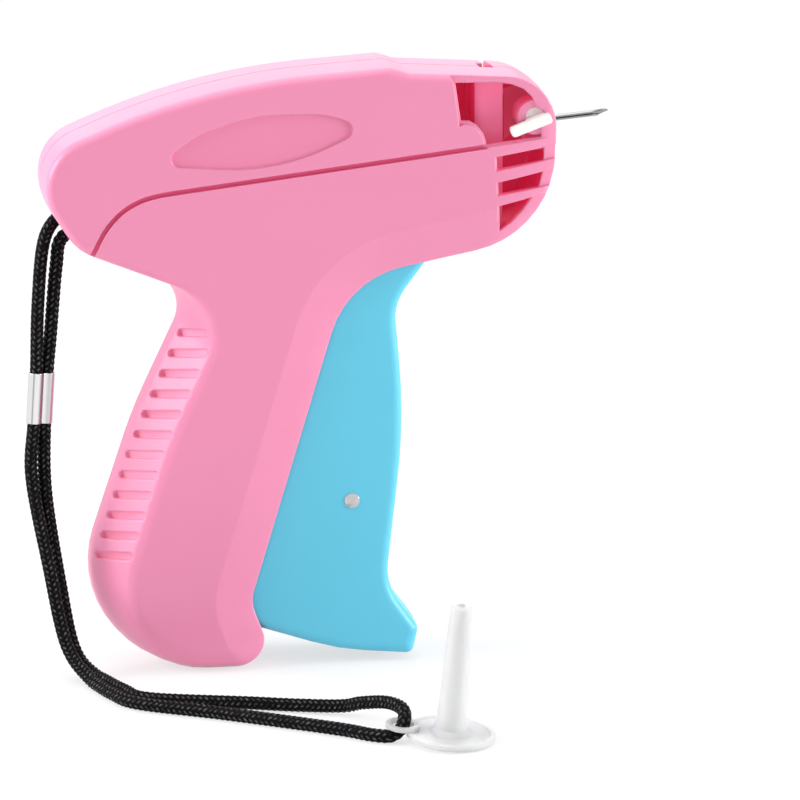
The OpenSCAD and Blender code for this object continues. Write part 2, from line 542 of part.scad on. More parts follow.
// needle, base and lock
module needle() color(steel) barrel() difference() {
  union() {
    translate([0.6, 0, 0]) rotate([0, 90, 0]) cylinder(r = needle_d / 2, h = needle_out - 0.6, $fn = 32);
    translate([-8.7, 0, 0]) rotate([0, 90, 0]) cylinder(r = needle_d / 2 - 0.08, h = 9.4, $fn = 32);
  }
  translate([-12, 0, 0]) rotate([0, 90, 0]) cylinder(r = needle_d / 2 - 0.28, h = needle_out + 14, $fn = 24);
  translate([0.8, -needle_d, -needle_slot / 2]) cube([needle_out, needle_d, needle_slot]);
  translate([needle_out, needle_d / 2 - 0.12, 0]) rotate([0, 0, 17])
    translate([-12, -6, -3]) cube([18, 6, 6]);
  translate([needle_out, 0, 0.12]) rotate([0, -15, 0]) translate([-12, -3, -6]) cube([18, 6, 6]);
  translate([needle_out, 0, 0.4]) rotate([0, 22, 0]) translate([-12, -3, 0]) cube([18, 6, 6]);
}
module needle_base() color(ivory) barrel() difference() {
  translate([-8.9, 0, 0]) rotate([0, 90, 0]) cylinder(r = base_r, h = 9.4, $fn = 40);
  translate([-12, 0, 0]) rotate([0, 90, 0]) cylinder(r = needle_d / 2 - 0.08 + seat_gap, h = 14, $fn = 32);
  bar_y([lock_u, lock_w], lock_r + 0.12, -5, 5, 48);
}
module lock_bar() {
  v = [[-5.3, -1.35, 0.8], [5.3, -1.35, 0.8], [5.3, 1.35, 0.8], [-5.3, 1.35, 0.8]];
  rotate(20) translate([-1.8, -1]) polygon(rounded(v, flat_inset(v, 0), 15));
}
module needle_lock() color(ivory) translate([lock_c[0], 0, lock_c[1]]) difference() {
  union() {
    bar_y([0, 0], lock_r, -recess_y + 2, 3, 48);
    bar_y([0, 0], hub_r, -recess_y + 1.2, -recess_y + 2.1, 48);
    side(-lever_face, -recess_y - 0.2) lock_bar();
    side(-recess_y - 0.3, -recess_y + 1.4) intersection() {
      circle(r = hub_r, $fn = 48);
      lock_bar();
    }
  }
  translate([-5, -2.9, 0.2]) cube([10, 8, 8]);
}

// strap: the cord goes round its pin in the body, through the sleeve and the cap's eye, and back
module strap_pin() color(steel) bar_y(strap_c, strap_r, -inner_hw - 1.6, inner_hw + 1.6);
sleeve_top = [-71.1, -3, 76.1];
sleeve_low = [-72, -3.5, 63.5];
pair = [1.34, 0.74, 0] * (cord_d + 0.2) / 3.06;
loop_r = strap_r + cord_d / 2 + 0.25;
function round_pin(a) = [strap_c[0] + loop_r * cos(a), 0, strap_c[1] + loop_r * sin(a)];
lay = cord_d / 2 + 0.1;
route = concat([for (a = [39, 81, 123]) round_pin(a)], [
  [-65, 0, 115.6], [-69.7, -0.4, 108.8], [-71.7, -2.4, 93], sleeve_top - pair, sleeve_low - pair,
  [-74.2, -4.7, 50], [-70.7, -7.3, 28.5], [-66.8, -10.8, 8.4], [-61.6, -21, lay + 0.3],
  [-57.6, -32, lay], [-52, -41, lay], [-33, -52.2, lay], [-8, -68.4, lay], [-0.6, -74.5, lay],
  [3.1, -76.45, lay], [5.4, -76.6, lay + 0.7], [7, -76, lay + 2], [7.9, -74.5, lay + 4.05],
  [7.7, -71.4, lay + 5.3], [5, -65.6, lay + 5.1], [0, -58.4, lay + 3], [-5, -52.6, lay + 0.7],
  [-23, -45.6, lay], [-48.6, -37.8, lay], [-54.5, -29.4, lay], [-59.6, -17.4, lay],
  [-64.6, -8.4, 6.4], [-67.7, -5, 23], [-70.7, -3.2, 46], sleeve_low + pair, sleeve_top + pair,
  [-68.6, -1.4, 86], [-66.9, -0.3, 102], [-65.2, 0, 109.2]],
  [for (a = [-66, -20, 27]) round_pin(a)]);
function spline(p, i, t) = let (n = len(p), a = p[max(i - 1, 0)], b = p[i], c = p[i + 1],
  d = p[min(i + 2, n - 1)])
  0.5 * (2 * b + (c - a) * t + (2 * a - 5 * b + 4 * c - d) * t * t + (3 * b - a - 3 * c + d) * t * t * t);
module wrist_strap() {
  last = len(route) - 1;
  path = concat([for (i = [0:last - 1]) let (m = ceil(norm(route[i + 1] - route[i]) / 9))
    each [for (k = [0:m - 1]) let (q = spline(route, i, k / m)) [q[0], q[1], max(q[2], lay)]]],
    [route[last]]);
  color(black) tube(path, cord_d / 2, 8, [0, 1, 0]);
}
// outline of the sleeve, pressed in between the two strands
module pressed(r) {
  far = norm(pair);
  half = [for (k = [0:18]) let (a = -135 + 270 * k / 18) [far + r * cos(a), r * sin(a)]];
  polygon(concat(half, [for (v = half) -v]));
}
module strap_ferrule() color(steel) translate((sleeve_top + sleeve_low) / 2)
  rotate([-2.3, 4.1, 0]) rotate([0, 0, 28.9]) translate([0, 0, -ferrule_length / 2]) difference() {
    linear_extrude(ferrule_length) pressed(cord_d / 2 + 0.45);
    translate([0, 0, -1]) linear_extrude(ferrule_length + 2) pressed(cord_d / 2 + 0.12);
  }

// needle cap: a tapered tube on a thin disc, tipped by the cord under its eye
cap_c = [18.4, -77.2];
cap_lean = 5.6;
cap_turn = 140;
eye_turn = 32;
eye_r = 2.8;
eye_out = cap_disc_d / 2 + eye_r - 2.1;
disc_t = 1.6;
disc_r = cap_disc_d / 2;
module needle_cap() color(clear) translate([cap_c[0], cap_c[1], 0.02]) rotate([0, 0, cap_turn])
  translate([-disc_r, 0, 0]) rotate([0, -cap_lean, 0]) translate([disc_r, 0, 0])
  rotate([0, 0, eye_turn]) difference() {
    union() {
      rotate_extrude($fn = 64) polygon([[0, 0], [disc_r - 0.4, 0], [disc_r, 0.4], [disc_r, disc_t - 0.4],
        [disc_r - 0.4, disc_t], [disc_r - 1.2, disc_t], [disc_r - 1.6, disc_t - 0.3], [5.2, disc_t - 0.3],
        [3.8, disc_t + 0.8], [2.6, cap_height - 0.5], [2.1, cap_height], [0, cap_height]]);
      translate([eye_out, 0, disc_t - 0.1]) cylinder(r = eye_r + 1.3, h = 1, $fn = 40);
    }
    translate([0, 0, -1]) cylinder(r = cap_bore_r, h = cap_height + 2, $fn = 32);
    translate([eye_out, 0, -1]) cylinder(r = eye_r, h = 4, $fn = 36);
  }

right_housing();
left_housing();
housing_screws();
trigger();
trigger_pivot_pin();
link_pin();
swing_lever();
lever_pivot_pin();
return_spring();
slide();
slide_pin();
push_rod();
feed_pawl();
feed_wheel();
feed_axle();
detent_spring();
knife_blade();
needle();
needle_base();
needle_lock();
strap_pin();
wrist_strap();
strap_ferrule();
needle_cap();
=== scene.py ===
"""Finishes the fabric tagging tool: mouldings, steel, the braided wrist strap and the needle cap."""
import math

import bpy
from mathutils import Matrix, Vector
from mathutils.bvhtree import BVHTree


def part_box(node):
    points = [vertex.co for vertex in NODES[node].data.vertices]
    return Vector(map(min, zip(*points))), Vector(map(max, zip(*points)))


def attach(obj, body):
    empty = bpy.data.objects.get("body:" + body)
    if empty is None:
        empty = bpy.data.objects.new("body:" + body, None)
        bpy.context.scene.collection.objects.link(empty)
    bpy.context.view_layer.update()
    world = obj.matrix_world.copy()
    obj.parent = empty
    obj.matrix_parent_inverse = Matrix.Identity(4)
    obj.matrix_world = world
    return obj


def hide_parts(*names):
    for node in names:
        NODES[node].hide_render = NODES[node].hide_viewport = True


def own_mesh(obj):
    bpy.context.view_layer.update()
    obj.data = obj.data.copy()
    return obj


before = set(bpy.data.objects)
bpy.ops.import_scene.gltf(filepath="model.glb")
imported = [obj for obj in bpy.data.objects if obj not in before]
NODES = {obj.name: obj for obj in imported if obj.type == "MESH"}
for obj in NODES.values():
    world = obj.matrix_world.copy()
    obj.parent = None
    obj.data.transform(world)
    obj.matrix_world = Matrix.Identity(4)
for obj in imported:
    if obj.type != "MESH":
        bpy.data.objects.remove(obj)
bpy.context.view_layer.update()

bl_info = {
    "name": "Fabric tagging tool",
    "version": (1, 0, 0),
    "blender": (4, 5, 0),
    "location": "View3D > Sidebar > Tagging tool",
    "description": "Finishes the tagging tool's mouldings, steel, wrist strap and needle cap",
    "category": "Object",
}

# Points closer than this are one point
SAME_POINT = 1e-6

# Finishes of the housing halves, in the order of their material slots
OUTSIDE, INSIDE, BEHIND_WINDOW, GRIP_SLOT, LONG_GROOVE, OVAL_PANEL = range(6)

# Depths from the middle plane: inside of the side walls, floor of the long groove, flat side of the body
INNER_FACE = 0.011
GROOVE_FLOOR = 0.0123
SIDE_FACE = 0.014

# Lowest end of the long groove, and where the nose's windows begin
GROOVE_FROM = 0.1
WINDOWS_FROM = 0.039

# Middle of the needle lock, and radius of the ring round it
LOCK_AT = (0.0504, 0.1378)
LOCK_RING = 0.0047

# Grip slots: their top, the front of their band at the floor with its lean, and half the strip between them
SLOTS_TOP = 0.088
GRIP_FRONT = (-0.0583, 0.33)
SLOTS_APART = 0.001

# Least depth at which the oval panels are sunk
PANEL_SUNK = 0.0002

# Flat bevel along the trigger side: its rear end at the floor with its lean, its top and its least bend
BEVEL_REAR = (-0.046, 0.24)
BEVEL_TOP = 0.116
BEVEL_BEND = 5.0

# How far a face looks for the shell over it, and how near a wall inside doesn't count
INSIDE_REACH = 0.15
WINDOW_REACH = 0.02
GROOVE_REACH = 0.004
SLOT_REACH = 0.003
NEAR_WALL = 0.003

# Least share of a face's view that the shell covers: inside and in the groove, at a window, in a grip slot
MOSTLY_COVERED = 0.5
WINDOW_COVERED = 0.4
SLOT_COVERED = 0.15

# Rays in a face's view, and how far over the face they start
VIEW_RAYS = 24
RAY_START = 1e-5

# Outward part of a normal: on the flat sides, on any flat face, on a face that looks out, on a cut's wall
FLAT_SIDE = 0.9995
FLAT_FACE = 0.99
LOOKS_OUT = 0.8
CUT_WALL = 0.6

# Stage: where the camera and the lamps stand and aim, the size of the floor and each lamp's own size
CAMERA_AT = (-0.1624, -1.1429, 0.3428)
CAMERA_AIM = (0.0186, 0.0, 0.065)
LAMP_AIM = (0.0, 0.0, 0.06)
FLOOR_SIZE = 9.0
LAMPS = (
    ("top", (-0.1, 0.1, 1.5), 1.5),
    ("back", (0.0, 1.3, 0.75), 1.0),
    ("left", (-1.4, 0.0, 0.7), 0.9),
    ("right", (1.4, -0.4, 0.3), 0.9),
)
WHITE = (1.0, 1.0, 1.0, 1.0)

# Return spring: open turns, pitch of its closed ends in wires, points round the wire and along a turn
SPRING_TURNS = 8
CLOSED_PITCH = 1.12
WIRE_SIDES = 12
TURN_STEPS = 32

# Cord: points between two points of its route, rounds of smoothing, step along it and points round it
CURVE_STEPS = 24
SMOOTH_ROUNDS = 3
CORD_STEP = 0.00024
CORD_SIDES = 48

# Braid: height of a strand where it goes under, as a share of the relief, and how blunt its back is
DIVE_HEIGHT = 0.35
BACK_BLUNT = 0.7

# Wrist strap, as the part's source lays it: both ends go round the pin in the body
STRAP_PIN = (-0.0587, 0.116)
STRAP_LOOP = 0.00335
STRAP_LAY = 0.0016

# Ends of the strap's sleeve, and half the way between the two strands in it
SLEEVE_TOP = Vector((-0.0711, -0.003, 0.0761))
SLEEVE_LOW = Vector((-0.072, -0.0035, 0.0635))
STRAND_APART = Vector((0.001401, 0.000774, 0.0))

# Width of the strap's sleeve, and how bright its metal is painted at shares of that width:
# painted reflections, with painted shade in the dark stripe near the crease between its lobes
SLEEVE_WIDTH = 0.0076
SLEEVE_PAINTED_REFLECTIONS = (
    (0.0, 0.75), (0.07, 0.95), (0.10, 0.4), (0.13, 1.1), (0.24, 1.1), (0.28, 0.7), (0.38, 0.3),
    (0.45, 0.12), (0.48, 1.0), (0.56, 1.05), (0.62, 0.72), (0.90, 0.66), (0.96, 0.42), (1.0, 0.6),
)


def round_pin(angle):
    """Point of the strap on its turn round the pin."""
    turn = math.radians(angle)
    return (STRAP_PIN[0] + STRAP_LOOP * math.cos(turn), 0.0, STRAP_PIN[1] + STRAP_LOOP * math.sin(turn))


STRAP_ROUTE = [round_pin(a) for a in (39, 81, 123)] + [
    (-0.065, 0.0, 0.1156), (-0.0697, -0.0004, 0.1088), (-0.0717, -0.0024, 0.093),
    SLEEVE_TOP - STRAND_APART, SLEEVE_LOW - STRAND_APART,
    (-0.0742, -0.0047, 0.05), (-0.0707, -0.0073, 0.0285), (-0.0668, -0.0108, 0.0084),
    (-0.0616, -0.021, STRAP_LAY + 0.0003), (-0.0576, -0.032, STRAP_LAY), (-0.052, -0.041, STRAP_LAY),
    (-0.033, -0.0522, STRAP_LAY), (-0.008, -0.0684, STRAP_LAY), (-0.0006, -0.0745, STRAP_LAY),
    (0.0031, -0.07645, STRAP_LAY), (0.0054, -0.0766, STRAP_LAY + 0.0007),
    (0.007, -0.076, STRAP_LAY + 0.002), (0.0079, -0.0745, STRAP_LAY + 0.00405),
    (0.0077, -0.0714, STRAP_LAY + 0.0053),
    (0.005, -0.0656, STRAP_LAY + 0.0051), (0.0, -0.0584, STRAP_LAY + 0.003),
    (-0.005, -0.0526, STRAP_LAY + 0.0007), (-0.023, -0.0456, STRAP_LAY), (-0.0486, -0.0378, STRAP_LAY),
    (-0.0545, -0.0294, STRAP_LAY), (-0.0596, -0.0174, STRAP_LAY), (-0.0646, -0.0084, 0.0064),
    (-0.0677, -0.005, 0.023), (-0.0707, -0.0032, 0.046),
    SLEEVE_LOW + STRAND_APART, SLEEVE_TOP + STRAND_APART,
    (-0.0686, -0.0014, 0.086), (-0.0669, -0.0003, 0.102), (-0.0652, 0.0, 0.1092),
] + [round_pin(a) for a in (-66, -20, 27)]


class ToolSizes(bpy.types.PropertyGroup):
    """Sizes of the pieces that this script models."""
    cord_d: bpy.props.FloatProperty(
        name="Cord diameter", description="Outside diameter of the braided cord", default=0.0034,
        unit="LENGTH")
    strands: bpy.props.IntProperty(
        name="Strands each way", description="Strands of the braid that wind one way", default=8)
    braid_pitch: bpy.props.FloatProperty(
        name="Braid pitch", description="Length of one full turn of a strand", default=0.0115,
        unit="LENGTH")
    braid_relief: bpy.props.FloatProperty(
        name="Braid relief", description="Depth between two strands", default=0.0004, unit="LENGTH")
    spring_wire: bpy.props.FloatProperty(
        name="Spring wire", description="Wire of the return spring", default=0.0009, unit="LENGTH")
    spring_mean: bpy.props.FloatProperty(
        name="Spring radius", description="Middle radius of the return spring", default=0.0034,
        unit="LENGTH")
    edge: bpy.props.FloatProperty(
        name="Edge softness", description="Radius of the moulded edges", default=0.0006, unit="LENGTH")
    # The parting line is sunk by a bump and darkened with painted shade
    seam: bpy.props.FloatProperty(
        name="Parting line", description="Half width of the line between the housing halves",
        default=0.00028, unit="LENGTH")


class ToolColours(bpy.types.PropertyGroup):
    """Colours of the finishes, as linear values."""
    pink: bpy.props.FloatVectorProperty(
        name="Pink", description="Housing halves", subtype="COLOR", size=4, min=0, max=1,
        default=(0.775, 0.246, 0.408, 1))
    # Painted glow: a deeper, redder pink for the inside, standing for light that comes through the wall
    inside_glow_pink: bpy.props.FloatVectorProperty(
        name="Deep pink", description="Inside of the housing halves, where light comes through the wall",
        subtype="COLOR", size=4, min=0, max=1, default=(0.97, 0.06, 0.22, 1))
    # Painted glow: a saturated pink on the window walls and ribs behind the windows, for light through the
    # wall
    recess: bpy.props.FloatVectorProperty(
        name="Recess", description="Window walls and ribs close behind the windows", subtype="COLOR",
        size=4, min=0, max=1, default=(0.95, 0.21, 0.41, 1))
    # Painted shade: a darker, redder pink in the long groove, whose finish also has a faint painted glow
    groove: bpy.props.FloatVectorProperty(
        name="Groove", description="Long narrow groove along the sides", subtype="COLOR", size=4, min=0,
        max=1, default=(0.80, 0.12, 0.29, 1))
    # Painted shade: a slightly darker pink on the sunk oval panels
    oval: bpy.props.FloatVectorProperty(
        name="Oval", description="Sunk oval panels", subtype="COLOR", size=4, min=0, max=1,
        default=(0.77, 0.220, 0.378, 1))
    # Painted light: a lighter pink in the grip slots, whose finish also has a faint painted glow
    slots: bpy.props.FloatVectorProperty(
        name="Slots", description="Shallow grip slots", subtype="COLOR", size=4, min=0, max=1,
        default=(0.95, 0.365, 0.545, 1))
    blue: bpy.props.FloatVectorProperty(
        name="Blue", description="Trigger", subtype="COLOR", size=4, min=0, max=1,
        default=(0.105, 0.535, 0.72, 1))
    white: bpy.props.FloatVectorProperty(
        name="White", description="Lock, needle base and drive", subtype="COLOR", size=4, min=0, max=1,
        default=(0.86, 0.86, 0.84, 1))
    milk: bpy.props.FloatVectorProperty(
        name="Milky white", description="Needle cap", subtype="COLOR", size=4, min=0, max=1,
        default=(0.80, 0.805, 0.81, 1))
    steel: bpy.props.FloatVectorProperty(
        name="Steel", description="Pins, screws, needle and springs", subtype="COLOR", size=4, min=0,
        max=1, default=(0.58, 0.58, 0.59, 1))
    sleeve: bpy.props.FloatVectorProperty(
        name="Sleeve", description="Crimped sleeve of the strap", subtype="COLOR", size=4, min=0, max=1,
        default=(0.80, 0.80, 0.81, 1))
    cord: bpy.props.FloatVectorProperty(
        name="Cord", description="Braided cord", subtype="COLOR", size=4, min=0, max=1,
        default=(0.007, 0.007, 0.0075, 1))


class ToolStage(bpy.types.PropertyGroup):
    """Light and camera of the stage."""
    sky: bpy.props.FloatProperty(name="Sky", description="Level of the even light", default=0.42, min=0)
    top: bpy.props.FloatProperty(
        name="Top lamp", description="Power of the wide lamp above", default=12.5, subtype="POWER")
    back: bpy.props.FloatProperty(
        name="Back lamp", description="Power of the soft lamp behind", default=2.8, subtype="POWER")
    left: bpy.props.FloatProperty(
        name="Left lamp", description="Power of the soft lamp on the left", default=24.0,
        subtype="POWER")
    right: bpy.props.FloatProperty(
        name="Right lamp", description="Power of the soft lamp on the right", default=23.0,
        subtype="POWER")
    lens: bpy.props.FloatProperty(
        name="Lens", description="Focal length in millimetres", default=214.2, min=1)
    floor_glow: bpy.props.FloatProperty(
        name="Floor white", description="Share of plain white in the floor", default=0.67, min=0, max=1,
        subtype="FACTOR")


class Value:
    """One socket of a finish, so that sums on it are written as plain expressions."""

    def __init__(self, finish, socket):
        self.finish = finish
        self.socket = socket

    def sum(self, operation, first, second):
        """Adds the Math node of one operator."""
        return self.finish.add("ShaderNodeMath", {"operation": operation}, {0: first, 1: second})

    def __add__(self, other):
        return self.sum("ADD", self, other)

    def __radd__(self, other):
        return self.sum("ADD", other, self)

    def __sub__(self, other):
        return self.sum("SUBTRACT", self, other)

    def __rsub__(self, other):
        return self.sum("SUBTRACT", other, self)

    def __mul__(self, other):
        return self.sum("MULTIPLY", self, other)

    def __rmul__(self, other):
        return self.sum("MULTIPLY", other, self)

    def __pow__(self, other):
        return self.sum("POWER", self, other)

    def __rpow__(self, other):
        return self.sum("POWER", other, self)

    def clamped(self):
        """The result of a sum, kept between 0 and 1."""
        self.socket.node.use_clamp = True
        return self

    def out(self, name):
        """Another output of the same node."""
        return Value(self.finish, self.socket.node.outputs[name])


class Finish:
    """A material or a world whose nodes are added one by one."""

    def __init__(self, owner):
        self.owner = owner
        owner.use_nodes = True
        self.tree = owner.node_tree
        self.tree.nodes.clear()

    def add(self, kind, settings=None, sockets=None, out=0):
        """Adds a node, sets it up, fills its sockets with numbers or links, and gives one output."""
        node = self.tree.nodes.new(kind)
        for name, setting in (settings or {}).items():
            if name == "stops":
                ramp = node.color_ramp
                while len(ramp.elements) < len(setting):
                    ramp.elements.new(1.0)
                for element, (place, colour) in zip(ramp.elements, setting):
                    element.position = place
                    element.color = colour
            else:
                setattr(node, name, setting)
        for name, given in (sockets or {}).items():
            if isinstance(given, Value):
                self.tree.links.new(given.socket, node.inputs[name])
            else:
                node.inputs[name].default_value = given
        return Value(self, node.outputs[out]) if node.outputs else None

    def mix(self, share, first, second):
        """Mixes two colours by a share from 0 to 1."""
        return self.add("ShaderNodeMix", {"data_type": "RGBA"}, {0: share, 6: first, 7: second}, 2)

    def noise(self, place, scale, detail=2.0, roughness=0.5):
        """Soft random value, with its scale per metre."""
        return self.add("ShaderNodeTexNoise", {}, {
            "Vector": place, "Scale": scale, "Detail": detail, "Roughness": roughness})

    def stretched(self, place, scale):
        """Place stretched along its axes."""
        return self.add("ShaderNodeMapping", {}, {"Vector": place, "Scale": scale})

    def soft_edges(self, radius):
        """Normal that rounds the edges by a radius."""
        return self.add("ShaderNodeBevel", {"samples": 6}, {"Radius": radius})

    def bump(self, height, strength, distance, normal=None, sunk=False):
        """Normal that a height lifts or sinks, over another normal if one is given."""
        sockets = {"Height": height, "Strength": strength, "Distance": distance}
        if normal is not None:
            sockets["Normal"] = normal
        return self.add("ShaderNodeBump", {"invert": sunk}, sockets)

    def sees_white(self):
        """1 for rays that show the white room: from the camera, off metal and through plastic."""
        path = self.add("ShaderNodeLightPath", out="Is Camera Ray")
        return (path + path.out("Is Glossy Ray") + path.out("Is Transmission Ray")).clamped()

    def surface(self, sockets):
        """Ends a material in one principled shader."""
        shader = self.add("ShaderNodeBsdfPrincipled", {}, sockets)
        self.add("ShaderNodeOutputMaterial", {}, {"Surface": shader})
        return self.owner


def shade(colour, factor):
    """Colour made darker or lighter, and opaque."""
    return tuple(min(1.0, c * factor) for c in colour[:3]) + (1.0,)


def pale(colour, share):
    """Colour mixed with white, and opaque."""
    return tuple(c + (1.0 - c) * share for c in colour[:3]) + (1.0,)


def moulded_plastic(name, colour, rough, edge, grain=1.0, painted_glow=0.0, seam=0.0):
    """Satin injection moulding: faint flow clouds, fine spark-eroded grain, and soft edges
    made paler by a painted highlight.

    A glow strength gives emission, a painted glow that stands for light coming through the wall.
    A seam is half the width of a parting line, which a bump sinks and painted shade darkens.
    """
    finish = Finish(bpy.data.materials.new(name))
    place = finish.add("ShaderNodeTexCoord", out="Object")
    cloud = finish.noise(place, scale=42.0, detail=3.0)
    flow = finish.noise(finish.stretched(place, (30.0, 90.0, 160.0)), scale=1.0)
    spark = finish.noise(place, scale=2600.0, roughness=0.6)
    fine = finish.noise(place, scale=900.0, detail=3.0, roughness=0.55)
    normal = finish.soft_edges(edge)
    # Painted highlight: the colour turns paler along edges, where the rounded-edge normal leaves the face's
    # own
    facing = finish.add("ShaderNodeNewGeometry", out="Normal")
    meet = finish.add("ShaderNodeVectorMath", {"operation": "DOT_PRODUCT"}, {0: normal, 1: facing}, "Value")
    painted_edge_highlight = ((1.0 - meet) * 4.0).clamped()
    base = finish.mix(cloud * 0.6 + flow * 0.4, shade(colour, 0.965), shade(colour, 1.03))
    base = finish.mix(painted_edge_highlight * 0.8, base, pale(shade(colour, 1.2), 0.12))
    worn = rough + (fine - 0.5) * 0.10 + (cloud - 0.5) * 0.06
    if seam:
        # Painted shade: the parting line is darkened along the middle plane, over its real sunk bump
        middle = finish.add("ShaderNodeSeparateXYZ", {}, {0: place}, "Y")
        away = finish.add("ShaderNodeMath", {"operation": "ABSOLUTE"}, {0: middle})
        line = (1.0 - away * (1.0 / seam)).clamped()
        base = finish.mix(line * 0.7, base, shade(colour, 0.55))
        normal = finish.bump(line, strength=0.8, distance=seam, normal=normal, sunk=True)
    skin = finish.bump(spark * 0.6 + fine * 0.4, strength=0.16 * grain, distance=0.00012, normal=normal)
    sockets = {"Base Color": base, "Roughness": worn, "Normal": skin, "IOR": 1.49}
    if painted_glow:
        # Painted glow: emission in the base colour, standing for light that comes through the wall
        sockets.update({"Emission Color": base, "Emission Strength": painted_glow})
    return finish.surface(sockets)


def milky_plastic(name, colour):
    """Translucent polyethylene: cloudy, a little waxy, with faint turning lines of the mould."""
    finish = Finish(bpy.data.materials.new(name))
    place = finish.add("ShaderNodeTexCoord", out="Object")
    cloud = finish.noise(place, scale=160.0, detail=3.0)
    lines = finish.noise(finish.stretched(place, (60.0, 60.0, 1600.0)), scale=1.0)
    base = finish.mix(cloud, shade(colour, 0.98), shade(colour, 1.02))
    worn = 0.32 + (cloud - 0.5) * 0.10 + (lines - 0.5) * 0.06
    skin = finish.bump(lines * 0.7 + cloud * 0.3, strength=0.08, distance=0.0001)
    return finish.surface({
        "Base Color": base, "Roughness": worn, "Normal": skin, "IOR": 1.51,
        "Transmission Weight": 0.35, "Subsurface Weight": 0.8, "Subsurface Scale": 0.006,
        "Subsurface Radius": (1.0, 1.0, 1.0)})


def metal_surface(finish, base, worn, lines, edge, depth):
    """Ends a metal finish: soft edges, and fine lines that stand out by a depth."""
    skin = finish.bump(lines, strength=depth, distance=0.00006, normal=finish.soft_edges(edge))
    return finish.surface({"Base Color": base, "Roughness": worn, "Metallic": 1.0, "Normal": skin})


def drawn_steel(name, colour, rough, stretch):
    """Steel with fine drawing or grinding lines, which run along the axis with the small stretch."""
    finish = Finish(bpy.data.materials.new(name))
    place = finish.add("ShaderNodeTexCoord", out="Object")
    lines = finish.noise(finish.stretched(place, stretch), scale=1.0, detail=3.0, roughness=0.6)
    stain = finish.noise(place, scale=240.0, detail=3.0)
    base = finish.mix(stain, shade(colour, 0.88), shade(colour, 1.08))
    worn = rough + (lines - 0.5) * 0.18 + (stain - 0.5) * 0.08
    return metal_surface(finish, base, worn, lines, edge=0.00018, depth=0.12)


def pressed_sleeve(name, colour):
    """Pressed bright metal with fine drawing lines, and painted reflections as light and dark stripes along
    it.

    The darkest stripe, near the crease between its two lobes, is painted shade.
    """
    finish = Finish(bpy.data.materials.new(name))
    place = finish.add("ShaderNodeTexCoord", out="Object")
    part = finish.add("ShaderNodeSeparateXYZ", {}, {0: place})
    way = STRAND_APART.normalized()
    lean = (SLEEVE_TOP - SLEEVE_LOW).dot(way) / (SLEEVE_TOP.z - SLEEVE_LOW.z)
    middle = SLEEVE_LOW.dot(way) - lean * SLEEVE_LOW.z
    across = part * way.x + part.out("Y") * way.y - part.out("Z") * lean
    # Painted reflections and painted shade across the sleeve's width
    stops = [(share, shade(colour, level)) for share, level in SLEEVE_PAINTED_REFLECTIONS]
    painted_reflections = finish.add("ShaderNodeValToRGB", {"stops": stops}, {
        0: (across - middle) * (1.0 / SLEEVE_WIDTH) + 0.5})
    stretch = (1500.0, 1500.0, 70.0)
    lines = finish.noise(finish.stretched(place, stretch), scale=1.0, detail=3.0, roughness=0.6)
    base = finish.mix(lines * 0.3, painted_reflections, shade(colour, 0.6))
    worn = 0.22 + (lines - 0.5) * 0.2
    return metal_surface(finish, base, worn, lines, edge=0.00025, depth=0.1)


def braided_cord(name, colour):
    """Black polyester braid with fibres along each strand.

    Its colour holds painted shade between the strands, lighter crowns and painted glints on them.
    """
    finish = Finish(bpy.data.materials.new(name))
    lift = finish.add("ShaderNodeAttribute", {"attribute_name": "lift"}, out="Fac")
    fibre = finish.add("ShaderNodeAttribute", {"attribute_name": "fibre"}, out="Fac")
    place = finish.add("ShaderNodeTexCoord", out="Object")
    fuzz = finish.noise(place, scale=5200.0, roughness=0.6)
    patch = finish.noise(place, scale=1300.0, detail=1.0)
    across = finish.add("ShaderNodeMath", {"operation": "SINE"}, {0: fibre * 40.0})
    # Painted shade and light: dark in the gaps between the strands, lighter on their crowns
    strand = finish.mix(lift ** 1.5 * 0.75 + fuzz * 0.25, shade(colour, 0.04), shade(colour, 1.0))
    # Painted glints: near-white spots on the crowns of the strands
    glint = (lift ** 3.0 * (patch * 3.0 - 0.6) - 0.35).clamped()
    base = finish.mix(glint, strand, shade(colour, 18.0))
    worn = 0.55 - lift * 0.2 + (fuzz - 0.5) * 0.2
    skin = finish.bump(across * 0.35 + fuzz * 0.65, strength=0.5, distance=0.00005)
    return finish.surface({
        "Base Color": base, "Roughness": worn, "Normal": skin, "Specular IOR Level": 0.05})


def aimed(name, data, place, target):
    """Adds a camera or a lamp at a place, turned towards a target."""
    holder = bpy.data.objects.new(name, data)
    holder.location = place
    holder.rotation_euler = (Vector(target) - Vector(place)).to_track_quat("-Z", "Y").to_euler()
    bpy.context.scene.collection.objects.link(holder)
    return holder


def only(*objects):
    """Selects these objects and nothing else, and makes the first one active."""
    if bpy.context.object and bpy.context.object.mode != "OBJECT":
        bpy.ops.object.mode_set(mode="OBJECT")
    bpy.ops.object.select_all(action="DESELECT")
    for item in objects:
        item.select_set(True)
    bpy.context.view_layer.objects.active = objects[0]


